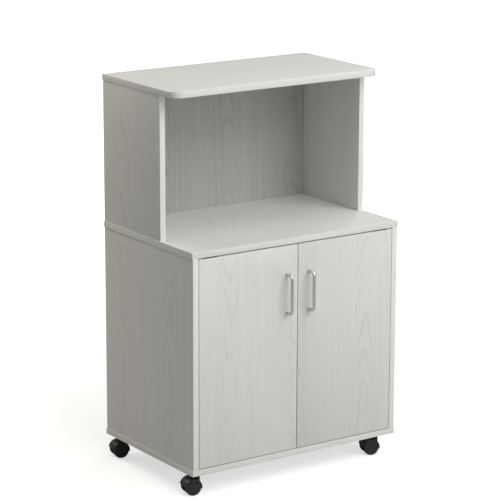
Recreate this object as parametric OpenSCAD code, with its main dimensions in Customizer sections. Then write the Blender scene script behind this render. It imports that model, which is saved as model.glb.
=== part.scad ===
// Two-door microwave cart: a low cabinet on four twin-wheel casters, with an open hutch above it.
// All sizes in millimetres. Z is up, the floor is at Z = 0, and the doors face -Y.
// Inside the modules X = 0 is the middle of the cabinet and Y = 0 is its front face;
// placed() then moves everything so that the origin is the middle of the footprint.

/* [Cabinet] */
// Width of the three boards: bottom, platform and hutch top
board_w = 604; // [560:1:700]
// Depth of the cart from the front edge to the back edge
cart_d = 400; // [380:1:460]
// Thickness of every board and side panel
board_t = 15; // [15:0.5:18]
// How far each board stands out past the side panels at either end
board_overhang = 2; // [0:0.5:6]
// Height of the lower side panels
lower_h = 519; // [440:1:700]

/* [Hutch] */
// Height of the hutch side panels
hutch_h = 351; // [280:1:450]
// Depth of the hutch side panels, measured from the back edge
hutch_side_d = 258; // [240:1:320]
// Depth of the hutch top, measured from the back edge
hutch_top_d = 320; // [300:1:380]
// Radius of the two front corners of the hutch top
top_corner_r = 32; // [6:1:60]

/* [Back panels] */
// Thickness of the thin back panels
back_t = 3; // [2.5:0.5:5]
// Distance from the back edge of the boards to the outer face of the back panels
back_inset = 16; // [12:1:30]
// Depth of the grooves that hold the back panels
groove_depth = 5; // [3:0.5:5.5]
// Play of a back panel in its groove, on each side
groove_play = 0.15; // [0.05:0.05:0.4]

/* [Shelf] */
// Distance from the cabinet front to the front edge of the shelf
shelf_setback = 32; // [28:1:90]
// Gap between the shelf and what is beside it
shelf_play = 1; // [0.5:0.5:3]
// Diameter of the shelf pins
shelf_pin_d = 5; // [4:0.5:6]
// Number of shelf heights drilled in each side panel
shelf_rows = 3; // [1:1:5]
// Height step between the rows of shelf holes
shelf_row_step = 64; // [32:32:64]
// Distance from the shelf's front and back edges to its pins
shelf_pin_inset = 50; // [35:1:80]

/* [Doors] */
// Gap between a door and the side panel beside it
door_side_gap = 2; // [1.5:0.1:3]
// Gap between the two doors
door_mid_gap = 2.5; // [2:0.1:4]
// Gap above the doors, which holds the upper pivot hinges
door_top_gap = 3; // [2.8:0.1:5]
// Gap below the doors, which holds the lower pivot hinges
door_bottom_gap = 2.2; // [2.2:0.1:4]

/* [Handles] */
// Distance between the two screws of a handle
handle_pitch = 96; // [64:1:160]
// How far the handle stands out from the door
handle_reach = 26; // [22:1:40]
// Width of the handle bar
handle_bar_w = 8; // [7:0.5:12]
// Thickness of the handle bar
handle_bar_t = 7; // [6.5:0.5:10]
// Radius of the bends, to the middle of the bar
handle_bend_r = 10; // [8:0.5:14]
// Distance from the free edge of the door to the middle of the handle
handle_edge = 31; // [20:1:60]
// Distance from the top edge of the door to the middle of the handle
handle_drop = 118; // [90:1:200]
// Diameter of the handle screws
handle_screw_d = 4; // [3.5:0.5:5]

/* [Pivot hinges] */
// Distance from the outer edge of the door to the pivot pin
pivot_edge = 6.6; // [6.2:0.1:9]
// Distance from the front face of the door to the pivot pin
pivot_depth = 5; // [4:0.1:5.2]
// Diameter of the pivot pin
pivot_pin_d = 4; // [3:0.5:4]
// Radial play of a pivot pin in the leaf on the door
pivot_play = 0.06; // [0.02:0.01:0.1]
// Thickness of the hinge leaves
leaf_t = 1.5; // [1.2:0.1:1.6]
// Width of the hinge leaves
leaf_w = 11; // [10:0.5:12]
// Length of the hinge leaves from the pivot pin
leaf_l = 46; // [42:1:60]

/* [Door catches] */
// Distance from the middle of the cabinet to the middle of each magnetic catch
catch_x = 50; // [36:1:120]
// Length of the catch housing along the door
catch_w = 30; // [24:1:40]
// Depth of the catch housing behind the door
catch_d = 20; // [16:1:28]
// Height of the catch housing
catch_h = 13; // [10:1:16]
// Thickness of the strike plate on the door
strike_t = 1; // [0.8:0.1:1.5]

/* [Cam joints] */
// Diameter of the cam locks
cam_d = 15; // [12:1:16]
// Depth of the cam bores in the side panels
cam_bore_depth = 12.5; // [11.5:0.1:13]
// Distance from a panel's end to the cam in it
cam_reach = 24; // [22:1:34]
// Diameter of the cam bolts' thread
cam_bolt_d = 6; // [5:0.5:6]
// Diameter of the wooden dowels
dowel_d = 8; // [6:0.5:8]
// Length of the wooden dowels
dowel_l = 30; // [26:1:40]
// How deep the dowels and the cam bolts go into the boards
board_bite = 10.5; // [9:0.5:11.5]

/* [Casters] */
// Height of the casters from the floor to the bottom board
caster_h = 55; // [53:0.5:62]
// Diameter of the caster wheels
wheel_d = 40; // [36:0.5:42]
// Width of one caster wheel
wheel_w = 11.5; // [10:0.5:13]
// Width of a caster over both of its wheels
caster_w = 37; // [35:0.5:42]
// Distance from the swivel axis to the wheel axle
caster_trail = 16; // [14:0.5:18]
// Distance from the board's ends and edges to the swivel axes
caster_inset = 34; // [28:1:60]
// Side of the square mounting plate
plate_w = 38; // [36:1:46]
// Thickness of the mounting plate
plate_t = 2; // [1.5:0.1:2.5]
// Diameter of the kingpin that the caster swivels on
kingpin_d = 8; // [6:0.5:9]
// Diameter of the wheel axle
axle_d = 5; // [4:0.5:6]
// Thickness of the hood over the wheels
hood_t = 1.4; // [1.2:0.1:2]
// Gap between the hood and the wheels
hood_gap = 0.7; // [0.5:0.1:1.5]
// Turn of each caster at rest, in degrees: front left, front right, back left, back right
caster_turn = [-10, -16, -11, -13];

/* [Fits] */
// Radial play of a fastener in its hole
fastener_play = 0.05; // [0.02:0.01:0.1]
// Radial play of an axle or a kingpin in its bearing
running_play = 0.06; // [0.02:0.01:0.1]
// Small gap between two flat faces that slide past each other
face_gap = 0.2; // [0.1:0.05:0.3]

/* [Hidden] */
$fn = 48;

// Colours
board_colour = [0.84, 0.84, 0.81];
steel_colour = [0.66, 0.67, 0.68];
handle_colour = [0.72, 0.73, 0.73];
caster_colour = [0.11, 0.11, 0.12];
dowel_colour = [0.80, 0.66, 0.46];
catch_colour = [0.93, 0.93, 0.91];
magnet_colour = [0.22, 0.22, 0.23];

// Overshoot of a cutting body past the face it cuts
cut = 1;
// Room left at the blind end of a bore
end_play = 0.5;

// Levels, from the floor up
bottom_z = caster_h;
lower_z = bottom_z + board_t;
platform_z = lower_z + lower_h;
hutch_z = platform_z + board_t;
top_z = hutch_z + hutch_h;

// Side panels
side_outer_x = board_w / 2 - board_overhang;
side_inner_x = side_outer_x - board_t;
side_mid_x = side_outer_x - board_t / 2;
hutch_side_y = cart_d - hutch_side_d;

// Back panels
back_outer_y = cart_d - back_inset;
back_inner_y = back_outer_y - back_t;
back_bite = groove_depth - 2 * groove_play;

// Shelf
shelf_d = back_inner_y - shelf_play - shelf_setback;
shelf_w = 2 * (side_inner_x - shelf_play);
shelf_underside_z = lower_z + lower_h / 2 - board_t / 2;
shelf_pin_ys = [shelf_setback + shelf_pin_inset, shelf_setback + shelf_d - shelf_pin_inset];
shelf_pin_bite = 9;
shelf_pin_tongue = 9;
shelf_pin_tongue_h = 3;
shelf_row_zs = [for (k = [0 : shelf_rows - 1])
    shelf_underside_z - shelf_pin_tongue_h / 2 + (k - (shelf_rows - 1) / 2) * shelf_row_step];

// Doors
door_w = side_inner_x - door_side_gap - door_mid_gap / 2;
door_h = lower_h - door_top_gap - door_bottom_gap;
door_z = lower_z + door_bottom_gap;
door_top_z = door_z + door_h;
door_outer_x = side_inner_x - door_side_gap;
door_inner_x = door_mid_gap / 2;

// Handles
handle_x = door_inner_x + handle_edge;
handle_z = door_top_z - handle_drop;
handle_mid_y = -handle_reach + handle_bar_t / 2;
handle_screw_bite = 9;
handle_screw_head_d = 1.9 * handle_screw_d;
handle_screw_head_h = 2.2;

// Pivot hinges
pivot_x = door_outer_x - pivot_edge;
leaf_nose_setback = 1;
leaf_nose_r = min(pivot_depth, pivot_edge) - leaf_nose_setback;
leaf_corner_r = 2.5;
leaf_screw_d = 3;
door_leaf_screw_l = 14;
cabinet_leaf_screw_l = 13;
leaf_screw_head_d = 5.8;
leaf_screw_pitch = 20;
leaf_screw_end = 7;
leaf_screw_xs = [leaf_l - leaf_screw_end - leaf_screw_pitch, leaf_l - leaf_screw_end];
// a door leaf's strip runs along the middle of the door's thickness
door_leaf_mid_y = board_t / 2 - pivot_depth;
leaf_recess_play = 0.1;
pin_hole_play = 0.75;
pivot_pin_bite = 4;
washer_d = 7.6;
top_washer_t = door_top_gap - leaf_t - face_gap;
bottom_washer_t = door_bottom_gap - leaf_t - face_gap;

// Door catches
pole_t = 1.5;
pole_reach = 0.8;
magnet_h = 4;
catch_wall = 4;
catch_back_wall = 3;
magnet_w = catch_w - 2 * catch_wall;
mouth_d = catch_d - catch_back_wall;
magnet_d = mouth_d - end_play;
ear_w = 9;
ear_d = 11;
ear_t = 2.5;
ear_corner_r = 3;
catch_screw_d = 3;
catch_screw_l = 12;
catch_screw_head_d = 5.6;
catch_screw_head_h = 2;
catch_front_y = board_t + strike_t + face_gap + pole_reach;
catch_pole_z = platform_z - catch_h / 2;
strike_margin = 3;
strike_w = magnet_w + 2 * strike_margin;
strike_h = 12;
strike_corner_r = 2;
strike_screw_d = 3;
strike_screw_l = 10;
strike_head_d = 5.4;

// Cam joints: the cams' distances from a panel's front and back edges, and the step to the dowels
lower_cam_front = 55;
lower_cam_back = 70;
lower_dowel_step = 40;
hutch_cam_front = 40;
hutch_cam_back = 48;
hutch_dowel_step = 33;
lower_cam_ys = [lower_cam_front, cart_d - lower_cam_back];
lower_dowel_ys = [lower_cam_ys[0] + lower_dowel_step, lower_cam_ys[1] - lower_dowel_step];
hutch_cam_ys = [hutch_side_y + hutch_cam_front, cart_d - hutch_cam_back];
hutch_dowel_ys = [hutch_cam_ys[0] + hutch_dowel_step, hutch_cam_ys[1] - hutch_dowel_step];
cam_h = cam_bore_depth - end_play;
cam_bolt_shank_d = 5;
cam_bolt_head_d = 7;
cam_bolt_head_h = 3;
cam_bolt_bore_d = 8;

// Casters, in their own frame: swivel axis at X = 0, wheels trailing towards -X
wheel_r = wheel_d / 2;
hood_inner_r = wheel_r + hood_gap;
hood_outer_r = hood_inner_r + hood_t;
wheel_outer_y = caster_w / 2;
wheel_inner_y = wheel_outer_y - wheel_w;
wheel_side_gap = 0.4;
core_half_w = wheel_inner_y - wheel_side_gap;
hood_half_w = wheel_outer_y - wheel_side_gap;
plate_underside_z = caster_h - plate_t;
plate_corner_r = 5;
boss_t = 1.6;
boss_d = 19;
collar_t = 1.2;
collar_lip = 2;
tower_top_z = plate_underside_z - boss_t - collar_t - face_gap;
kingpin_rise = 7;
kingpin_tip_z = wheel_r + kingpin_rise;
tower_floor = 2;
web_half_w = 2.6;
hub_wall = 3;
plate_hole_inset = 5.5;
plate_hole_pitch = plate_w - 2 * plate_hole_inset;
plate_hole_play = 0.3;
caster_screw_d = 3.5;
caster_screw_l = 12;
caster_screw_head_d = 6.8;
caster_screw_head_h = 2.2;
// angles of the hood's two lips about the axle, from the swivel's side over the top
hood_front_angle = -12;
hood_back_angle = 170;
wheel_face_t = 2.2;
axle_end_gap = 0.3;
axle_end_y = wheel_outer_y - wheel_face_t - axle_end_gap;
caster_xs = [-1, 1, -1, 1] * (board_w / 2 - caster_inset);
caster_ys = [caster_inset, caster_inset, cart_d - caster_inset, cart_d - caster_inset];

// Middle of the footprint, which spans from the handles' fronts to the back edges
frame_y = -(cart_d - handle_reach) / 2;

module placed() {
    translate([0, frame_y, 0])
        children();
}

// Both sides of the cabinet: children are drawn for +X and mirrored for -X
module both_sides() {
    children();
    mirror([1, 0, 0])
        children();
}

// ---------------------------------------------------------------- shared shapes

// Flat outline with round corners of a true circular radius
module round_rect(w, d, r) {
    union() {
        square([w - 2 * r, d], center = true);
        square([w, d - 2 * r], center = true);
        for (sx = [-1, 1], sy = [-1, 1])
            translate([sx * (w / 2 - r), sy * (d / 2 - r)])
                circle(r = r);
    }
}

// Upright board of a given width, depth and height from its lowest corner
module board(x, y, z, w, d, h) {
    translate([x, y, z])
        cube([w, d, h]);
}

// Countersunk screw pointing up: the flat of its head lies at Z = 0
module countersunk_screw(d, l, head_d) {
    cone_h = (head_d - d) / 2;
    cylinder(h = cone_h, d1 = head_d, d2 = d);
    translate([0, 0, cone_h])
        cylinder(h = l - cone_h - d, d = d);
    translate([0, 0, l - d])
        cylinder(h = d, d1 = d, d2 = d / 4);
}

// Bore for a countersunk screw, from the same sizes plus the fastener play
module countersunk_bore(d, l, head_d) {
    cone_h = (head_d - d) / 2;
    translate([0, 0, -cut])
        cylinder(h = l + cut + fastener_play, d = d + 2 * fastener_play);
    translate([0, 0, -fastener_play])
        cylinder(h = cone_h + 2 * fastener_play, d1 = head_d + 4 * fastener_play, d2 = d);
}

// Pan-head screw pointing up: the underside of its head lies at Z = 0
module pan_screw(d, l, head_d, head_h) {
    rim_h = head_h * 0.6;
    crown_d = head_d * 0.72;
    translate([0, 0, -head_h])
        cylinder(h = head_h - rim_h, d1 = crown_d, d2 = head_d);
    translate([0, 0, -rim_h])
        cylinder(h = rim_h, d = head_d);
    cylinder(h = l - d, d = d);
    translate([0, 0, l - d])
        cylinder(h = d, d1 = d, d2 = d / 4);
}

// ---------------------------------------------------------------- cam and dowel joints

// Drawn for the +X side panel with its end at Z = 0 and the panel above it.
// The cam lock's middle lies at Z = cam_reach.
module at_joint(ys, end_z, upward) {
    for (y = ys)
        translate([side_mid_x, y, end_z])
            mirror([0, 0, upward ? 0 : 1])
                children();
}

module cam_bolt() {
    // thread in the board, shank in the panel's end and head inside the cam
    translate([0, 0, -board_bite])
        cylinder(h = board_bite, d = cam_bolt_d);
    cylinder(h = cam_reach + cam_bolt_head_h / 2, d = cam_bolt_shank_d);
    translate([0, 0, cam_reach - cam_bolt_head_h / 2])
        cylinder(h = cam_bolt_head_h, d = cam_bolt_head_d);
}

module cam_lock() {
    slot_l = cam_d / 2;
    slot_w = 1.5;
    slot_depth = 1.5;
    difference() {
        translate([-board_t / 2, 0, cam_reach])
            rotate([0, 90, 0])
                cylinder(h = cam_h, d = cam_d - 2 * fastener_play);
        // channel for the bolt's shank and head
        cylinder(h = cam_reach + cam_bolt_head_h, d = cam_bolt_bore_d);
        // cross slot for the screwdriver
        for (turn = [0, 90])
            translate([-board_t / 2, 0, cam_reach])
                rotate([turn + 45, 0, 0])
                    cube([2 * slot_depth, slot_w, slot_l], center = true);
    }
}

// Everything that is drilled in the side panel for one cam joint
module cam_joint_bores() {
    translate([-board_t / 2 - cut, 0, cam_reach])
        rotate([0, 90, 0])
            cylinder(h = cam_bore_depth + cut, d = cam_d);
    translate([0, 0, -cut])
        cylinder(h = cam_reach + cut, d = cam_bolt_bore_d);
}

// The bore in the board for one cam bolt
module cam_bolt_bore() {
    translate([0, 0, -board_bite - fastener_play])
        cylinder(h = board_bite + fastener_play + cut, d = cam_bolt_d + 2 * fastener_play);
}

module dowel() {
    chamfer = 1;
    translate([0, 0, -board_bite]) {
        cylinder(h = chamfer, d1 = dowel_d - 2 * chamfer, d2 = dowel_d);
        translate([0, 0, chamfer])
            cylinder(h = dowel_l - 2 * chamfer, d = dowel_d);
        translate([0, 0, dowel_l - chamfer])
            cylinder(h = chamfer, d1 = dowel_d, d2 = dowel_d - 2 * chamfer);
    }
}

// One bore through the joint for a dowel: half lies in the board, half in the panel
module dowel_bore() {
    translate([0, 0, -board_bite - end_play])
        cylinder(h = dowel_l + 2 * end_play, d = dowel_d + 2 * fastener_play);
}

// The four joint rows of one side: lower panel's ends, then the hutch panel's ends
module every_cam_joint() {
    at_joint(lower_cam_ys, lower_z, true)
        children();
    at_joint(lower_cam_ys, platform_z, false)
        children();
    at_joint(hutch_cam_ys, hutch_z, true)
        children();
    at_joint(hutch_cam_ys, top_z, false)
        children();
}

module every_dowel_joint() {
    at_joint(lower_dowel_ys, lower_z, true)
        children();
    at_joint(lower_dowel_ys, platform_z, false)
        children();
    at_joint(hutch_dowel_ys, hutch_z, true)
        children();
    at_joint(hutch_dowel_ys, top_z, false)
        children();
}

module board_joint_bores() {
    both_sides() {
        every_cam_joint()
            cam_bolt_bore();
        every_dowel_joint()
            dowel_bore();
    }
}

module panel_joint_bores() {
    every_cam_joint()
        cam_joint_bores();
    every_dowel_joint()
        dowel_bore();
}

module cam_locks() {
    color(steel_colour)
        placed()
            both_sides()
                every_cam_joint()
                    cam_lock();
}

module cam_bolts() {
    color(steel_colour)
        placed()
            both_sides()
                every_cam_joint()
                    cam_bolt();
}

module dowels() {
    color(dowel_colour)
        placed()
            both_sides()
                every_dowel_joint()
                    dowel();
}

// ---------------------------------------------------------------- carcass

// Groove that a back panel stands in: a slab around the panel's own outline
module lower_back_groove() {
    w = 2 * (side_inner_x + groove_depth);
    board(-w / 2, back_inner_y - groove_play, lower_z - groove_depth,
        w, back_t + 2 * groove_play, lower_h + 2 * groove_depth);
}

module hutch_back_groove() {
    w = 2 * (side_inner_x + groove_depth);
    board(-w / 2, back_inner_y - groove_play, hutch_z - groove_depth,
        w, back_t + 2 * groove_play, hutch_h + 2 * groove_depth);
}

module back_panel(z, h) {
    w = 2 * (side_inner_x + back_bite);
    board(-w / 2, back_inner_y, z - back_bite, w, back_t, h + 2 * back_bite);
}

module bottom_board() {
    color(board_colour)
        placed()
            difference() {
                board(-board_w / 2, 0, bottom_z, board_w, cart_d, board_t);
                board_joint_bores();
                lower_back_groove();
                both_sides()
                    bottom_hinge_screw_bores();
                caster_screw_bores();
            }
}

module platform() {
    color(board_colour)
        placed()
            difference() {
                board(-board_w / 2, 0, platform_z, board_w, cart_d, board_t);
                board_joint_bores();
                lower_back_groove();
                hutch_back_groove();
                both_sides() {
                    top_hinge_screw_bores();
                    catch_screw_bores();
                }
            }
}

module lower_side() {
    difference() {
        board(side_inner_x, 0, lower_z, board_t, cart_d, lower_h);
        panel_joint_bores();
        lower_back_groove();
        for (z = shelf_row_zs, y = shelf_pin_ys)
            translate([side_inner_x - cut, y, z])
                rotate([0, 90, 0])
                    cylinder(h = shelf_pin_bite + cut, d = shelf_pin_d + 2 * fastener_play);
    }
}

module left_side_panel() {
    color(board_colour)
        placed()
            mirror([1, 0, 0])
                lower_side();
}

module right_side_panel() {
    color(board_colour)
        placed()
            lower_side();
}

module lower_back_panel() {
    color(board_colour)
        placed()
            back_panel(lower_z, lower_h);
}

module shelf() {
    color(board_colour)
        placed()
            board(-shelf_w / 2, shelf_setback, shelf_underside_z, shelf_w, shelf_d, board_t);
}

// Pin with a flat tongue under the shelf, drawn for the +X side
module shelf_pin() {
    collar_d = 8;
    translate([side_inner_x, 0, -shelf_pin_tongue_h / 2])
        rotate([0, 90, 0])
            cylinder(h = shelf_pin_bite - face_gap, d = shelf_pin_d);
    difference() {
        translate([side_inner_x - shelf_pin_tongue, 0, -shelf_pin_tongue_h / 2])
            rotate([0, 90, 0])
                cylinder(h = shelf_pin_tongue, d = collar_d);
        translate([side_inner_x - shelf_pin_tongue - cut, -collar_d, 0])
            cube([shelf_pin_tongue + 2 * cut, 2 * collar_d, collar_d]);
    }
}

module shelf_pins() {
    color(steel_colour)
        placed()
            both_sides()
                for (y = shelf_pin_ys)
                    translate([0, y, shelf_underside_z])
                        shelf_pin();
}

// ---------------------------------------------------------------- hutch

module hutch_side() {
    difference() {
        board(side_inner_x, hutch_side_y, hutch_z, board_t, hutch_side_d, hutch_h);
        panel_joint_bores();
        hutch_back_groove();
    }
}

module hutch_left_side() {
    color(board_colour)
        placed()
            mirror([1, 0, 0])
                hutch_side();
}

module hutch_right_side() {
    color(board_colour)
        placed()
            hutch_side();
}

// Plan of the hutch top: square at the back, round at the two front corners
module hutch_top_outline() {
    front_y = cart_d - hutch_top_d;
    translate([-board_w / 2, front_y + top_corner_r])
        square([board_w, hutch_top_d - top_corner_r]);
    translate([-board_w / 2 + top_corner_r, front_y])
        square([board_w - 2 * top_corner_r, hutch_top_d]);
    for (side = [-1, 1])
        translate([side * (board_w / 2 - top_corner_r), front_y + top_corner_r])
            circle(r = top_corner_r, $fn = 96);
}

module hutch_top() {
    color(board_colour)
        placed()
            difference() {
                translate([0, 0, top_z])
                    linear_extrude(board_t)
                        hutch_top_outline();
                board_joint_bores();
                hutch_back_groove();
            }
}

module hutch_back_panel() {
    color(board_colour)
        placed()
            back_panel(hutch_z, hutch_h);
}

// ---------------------------------------------------------------- pivot hinges

// Strip leaf with a round nose about the pin, drawn along +X from the pin and grown by a play
module leaf_outline(mid_y, play = 0) {
    circle(r = leaf_nose_r + play);
    translate([leaf_l / 2, mid_y])
        round_rect(leaf_l + 2 * play, leaf_w + 2 * play, leaf_corner_r + play);
}

// Positions of a leaf's two screws along the leaf
module at_leaf_screws(mid_y) {
    for (x = leaf_screw_xs)
        translate([x, mid_y, 0])
            children();
}

// Frame of the right-hand door's pivot, with +X turned towards the door's free edge
module at_pivot(z, flip) {
    translate([pivot_x, pivot_depth, z])
        mirror([1, 0, 0])
            mirror([0, 0, flip ? 1 : 0])
                children();
}

// One door leaf, with its outer face at Z = 0 and the door above it
module door_leaf() {
    difference() {
        linear_extrude(leaf_t)
            leaf_outline(door_leaf_mid_y);
        translate([0, 0, -cut])
            cylinder(h = leaf_t + 2 * cut, r = pivot_pin_d / 2 + pivot_play);
        at_leaf_screws(door_leaf_mid_y)
            countersunk_bore(leaf_screw_d, leaf_t, leaf_screw_head_d);
    }
}

// What the door loses for one leaf: the recess, the pin's clearance hole and two screw bores
module door_leaf_pocket() {
    translate([0, 0, -cut])
        linear_extrude(leaf_t + cut)
            leaf_outline(door_leaf_mid_y, leaf_recess_play);
    cylinder(h = leaf_t + pivot_pin_bite + end_play, d = pivot_pin_d + 2 * pin_hole_play);
    at_leaf_screws(door_leaf_mid_y)
        cylinder(h = door_leaf_screw_l + end_play, d = leaf_screw_d + 2 * fastener_play);
}

module both_door_ends() {
    at_pivot(door_z, false)
        children();
    at_pivot(door_top_z, true)
        children();
}

// The cabinet's leaves run back from the pins, beside the side panels
module at_cabinet_leaf(z, flip) {
    translate([pivot_x, pivot_depth, z])
        mirror([0, 0, flip ? 1 : 0])
            rotate([0, 0, 90])
                children();
}

module cabinet_leaf() {
    difference() {
        linear_extrude(leaf_t)
            leaf_outline(0);
        translate([0, 0, -cut])
            cylinder(h = leaf_t + 2 * cut, r = pivot_pin_d / 2 + fastener_play);
        mirror([0, 0, 1])
            translate([0, 0, -leaf_t])
                at_leaf_screws(0)
                    countersunk_bore(leaf_screw_d, leaf_t, leaf_screw_head_d);
    }
}

module cabinet_leaf_screws() {
    mirror([0, 0, 1])
        translate([0, 0, -leaf_t])
            at_leaf_screws(0)
                countersunk_screw(leaf_screw_d, cabinet_leaf_screw_l, leaf_screw_head_d);
}

module cabinet_leaf_screw_bores() {
    mirror([0, 0, 1])
        translate([0, 0, -leaf_t])
            at_leaf_screws(0)
                cylinder(h = cabinet_leaf_screw_l + end_play, d = leaf_screw_d + 2 * fastener_play);
}

module bottom_hinge_screw_bores() {
    at_cabinet_leaf(lower_z, false)
        cabinet_leaf_screw_bores();
}

module top_hinge_screw_bores() {
    at_cabinet_leaf(platform_z, true)
        cabinet_leaf_screw_bores();
}

module cabinet_hinge_leaves() {
    color(steel_colour)
        placed()
            both_sides() {
                at_cabinet_leaf(lower_z, false)
                    cabinet_leaf();
                at_cabinet_leaf(platform_z, true)
                    cabinet_leaf();
            }
}

module cabinet_hinge_screws() {
    color(steel_colour)
        placed()
            both_sides() {
                at_cabinet_leaf(lower_z, false)
                    cabinet_leaf_screws();
                at_cabinet_leaf(platform_z, true)
                    cabinet_leaf_screws();
            }
}

// Pins riveted in the cabinet's leaves, reaching through the door's leaves
module hinge_pivot_pins() {
    color(steel_colour)
        placed()
            both_sides() {
                at_cabinet_leaf(lower_z, false)
                    cylinder(h = door_bottom_gap + leaf_t + pivot_pin_bite, d = pivot_pin_d);
                at_cabinet_leaf(platform_z, true)
                    cylinder(h = door_top_gap + leaf_t + pivot_pin_bite, d = pivot_pin_d);
            }
}

module hinge_washer(t) {
    difference() {
        cylinder(h = t, d = washer_d);
        translate([0, 0, -cut])
            cylinder(h = t + 2 * cut, d = pivot_pin_d + 2 * running_play);
    }
}

module hinge_washers() {
    color(catch_colour)
        placed()
            both_sides() {
                at_cabinet_leaf(lower_z + leaf_t, false)
                    hinge_washer(bottom_washer_t);
                at_cabinet_leaf(platform_z - leaf_t, true)
                    hinge_washer(top_washer_t);
            }
}

// ---------------------------------------------------------------- magnetic door catches

module catch_screw_positions() {
    for (side = [-1, 1])
        translate([catch_x + side * (catch_w + ear_w) / 2, catch_front_y + catch_d / 2, platform_z])
            children();
}

// Drawn for the +X catch, hanging from the platform
module catch_housing() {
    mouth_h = magnet_h + 2 * pole_t + 2 * fastener_play;
    difference() {
        union() {
            board(catch_x - catch_w / 2, catch_front_y, platform_z - catch_h, catch_w, catch_d, catch_h);
            translate([catch_x, catch_front_y + catch_d / 2, platform_z - ear_t])
                linear_extrude(ear_t)
                    round_rect(catch_w + 2 * ear_w, ear_d, ear_corner_r);
        }
        board(catch_x - magnet_w / 2 - fastener_play, catch_front_y - cut, catch_pole_z - mouth_h / 2,
            magnet_w + 2 * fastener_play, mouth_d + cut, mouth_h);
        catch_screw_positions()
            translate([0, 0, -ear_t - cut])
                cylinder(h = ear_t + 2 * cut, d = catch_screw_d + 2 * fastener_play);
    }
}

module catch_housings() {
    color(catch_colour)
        placed()
            both_sides()
                catch_housing();
}

module catch_magnets() {
    color(magnet_colour)
        placed()
            both_sides()
                board(catch_x - magnet_w / 2, catch_front_y, catch_pole_z - magnet_h / 2,
                    magnet_w, magnet_d, magnet_h);
}

// Two steel plates hold the magnet between them and stand out towards the strike plate
module catch_pole_plates() {
    color(steel_colour)
        placed()
            both_sides()
                for (z = [catch_pole_z - magnet_h / 2 - pole_t, catch_pole_z + magnet_h / 2])
                    board(catch_x - magnet_w / 2, catch_front_y - pole_reach, z,
                        magnet_w, magnet_d + pole_reach, pole_t);
}

module catch_screws() {
    color(steel_colour)
        placed()
            both_sides()
                catch_screw_positions()
                    translate([0, 0, -ear_t])
                        pan_screw(catch_screw_d, catch_screw_l, catch_screw_head_d, catch_screw_head_h);
}

module catch_screw_bores() {
    catch_screw_positions()
        translate([0, 0, -cut])
            cylinder(h = catch_screw_l - ear_t + end_play + cut, d = catch_screw_d + 2 * fastener_play);
}

// ---------------------------------------------------------------- doors, drawn for the right-hand side

module at_strike() {
    translate([catch_x, board_t + strike_t, catch_pole_z])
        rotate([90, 0, 0])
            children();
}

module strike_plate() {
    difference() {
        at_strike()
            linear_extrude(strike_t)
                round_rect(strike_w, strike_h, strike_corner_r);
        at_strike()
            countersunk_bore(strike_screw_d, strike_t, strike_head_d);
    }
}

module at_handle_screws() {
    for (side = [-1, 1])
        translate([handle_x, 0, handle_z + side * handle_pitch / 2])
            rotate([90, 0, 0])
                children();
}

module door_panel() {
    difference() {
        board(door_inner_x, 0, door_z, door_w, board_t, door_h);
        both_door_ends()
            door_leaf_pocket();
        at_handle_screws()
            translate([0, 0, -board_t - cut])
                cylinder(h = board_t + 2 * cut, d = handle_screw_d + 2 * fastener_play);
        at_strike()
            countersunk_bore(strike_screw_d, strike_screw_l + end_play, strike_head_d);
    }
}

// Oval section of the handle bar
module bar_section() {
    flat_w = handle_bar_w - handle_bar_t;
    union() {
        square([flat_w, handle_bar_t], center = true);
        for (side = [-1, 1])
            translate([side * flat_w / 2, 0])
                circle(d = handle_bar_t);
    }
}

// One half of the bent bar: foot on the door, bend, then the upright run to the middle
module half_handle() {
    leg_l = -handle_mid_y - handle_bend_r;
    run_l = handle_pitch / 2 - handle_bend_r;
    translate([0, 0, handle_pitch / 2]) {
        rotate([90, 0, 0])
            linear_extrude(leg_l)
                bar_section();
        translate([0, -leg_l, -handle_bend_r])
            rotate([0, -90, 0])
                rotate([0, 0, -90])
                    rotate_extrude(angle = 90, $fn = 96)
                        translate([handle_bend_r, 0])
                            rotate(90)
                                bar_section();
    }
    translate([0, handle_mid_y, 0])
        linear_extrude(run_l)
            bar_section();
}

module handle() {
    difference() {
        translate([handle_x, 0, handle_z])
            union() {
                half_handle();
                mirror([0, 0, 1])
                    half_handle();
            }
        at_handle_screws()
            translate([0, 0, -cut])
                cylinder(h = cut + handle_screw_bite + end_play, d = handle_screw_d + 2 * fastener_play);
    }
}

module handle_screws() {
    crown_d = handle_screw_head_d * 0.8;
    at_handle_screws()
        translate([0, 0, -board_t]) {
            translate([0, 0, -handle_screw_head_h])
                cylinder(h = handle_screw_head_h, d1 = crown_d, d2 = handle_screw_head_d);
            cylinder(h = board_t + handle_screw_bite, d = handle_screw_d);
        }
}

module door_leaf_screws() {
    both_door_ends()
        at_leaf_screws(door_leaf_mid_y)
            countersunk_screw(leaf_screw_d, door_leaf_screw_l, leaf_screw_head_d);
}

module strike_screw() {
    at_strike()
        countersunk_screw(strike_screw_d, strike_screw_l, strike_head_d);
}

module on_left_door() {
    placed()
        mirror([1, 0, 0])
            children();
}

module left_door() {
    color(board_colour)
        on_left_door()
            door_panel();
}

module left_door_hinge_leaves() {
    color(steel_colour)
        on_left_door()
            both_door_ends()
                door_leaf();
}

module left_door_hinge_screws() {
    color(steel_colour)
        on_left_door()
            door_leaf_screws();
}

module left_handle() {
    color(handle_colour)
        on_left_door()
            handle();
}

module left_handle_screws() {
    color(steel_colour)
        on_left_door()
            handle_screws();
}

module left_strike_plate() {
    color(steel_colour)
        on_left_door()
            strike_plate();
}

module left_strike_screw() {
    color(steel_colour)
        on_left_door()
            strike_screw();
}

module right_door() {
    color(board_colour)
        placed()
            door_panel();
}

module right_door_hinge_leaves() {
    color(steel_colour)
        placed()
            both_door_ends()
                door_leaf();
}

module right_door_hinge_screws() {
    color(steel_colour)
        placed()
            door_leaf_screws();
}

module right_handle() {
    color(handle_colour)
        placed()
            handle();
}

module right_handle_screws() {
    color(steel_colour)
        placed()
            handle_screws();
}

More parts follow.
